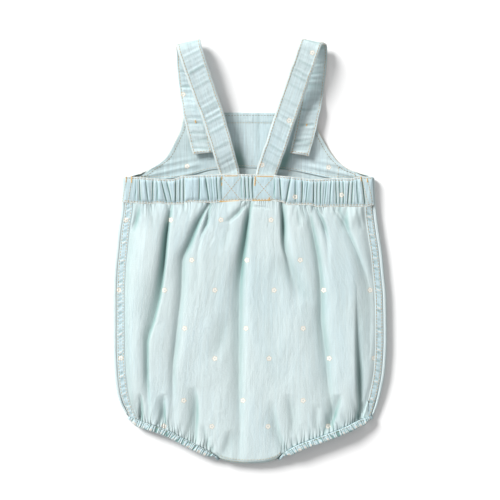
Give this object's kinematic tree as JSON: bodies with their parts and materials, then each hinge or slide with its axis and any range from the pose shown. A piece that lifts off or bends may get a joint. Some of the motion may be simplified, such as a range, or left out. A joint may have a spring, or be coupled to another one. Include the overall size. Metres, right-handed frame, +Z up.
{
  "type": "baby bodysuit",
  "caption": "Sleeveless baby bodysuit laid flat, back up: gathered bubble body, elastic back waist and leg edges, a bib, and two shoulder straps folded over and crossing inwards to the waist.",
  "frame": {"origin": "on the surface it lies on, under the middle of the garment's bounding box", "axes": "+Z up, out of the garment's back; +Y along its length, from the crotch to the shoulders; +X to the right as it is seen from above"},
  "size_m": [0.274, 0.4249, 0.0199],
  "materials": {
    "denim": "light washed chambray denim, matt, with a vertical slub",
    "denim_facing": "light washed chambray denim, matt",
    "denim_band": "light washed chambray denim, a little bluer where it is folded and stitched",
    "button": "horn-coloured resin, lightly polished"
  },
  "bodies": {
    "root": {"front_panel": "denim", "bib_facing": "denim_facing", "back_panel": "denim", "back_waistband": "denim_band", "side_seam_left": "denim_band", "side_seam_right": "denim_band", "leg_casing_left": "denim_band", "leg_casing_right": "denim_band", "strap_left": "denim", "strap_right": "denim", "button_left": "button", "button_right": "button"}
  },
  "joints": []
}
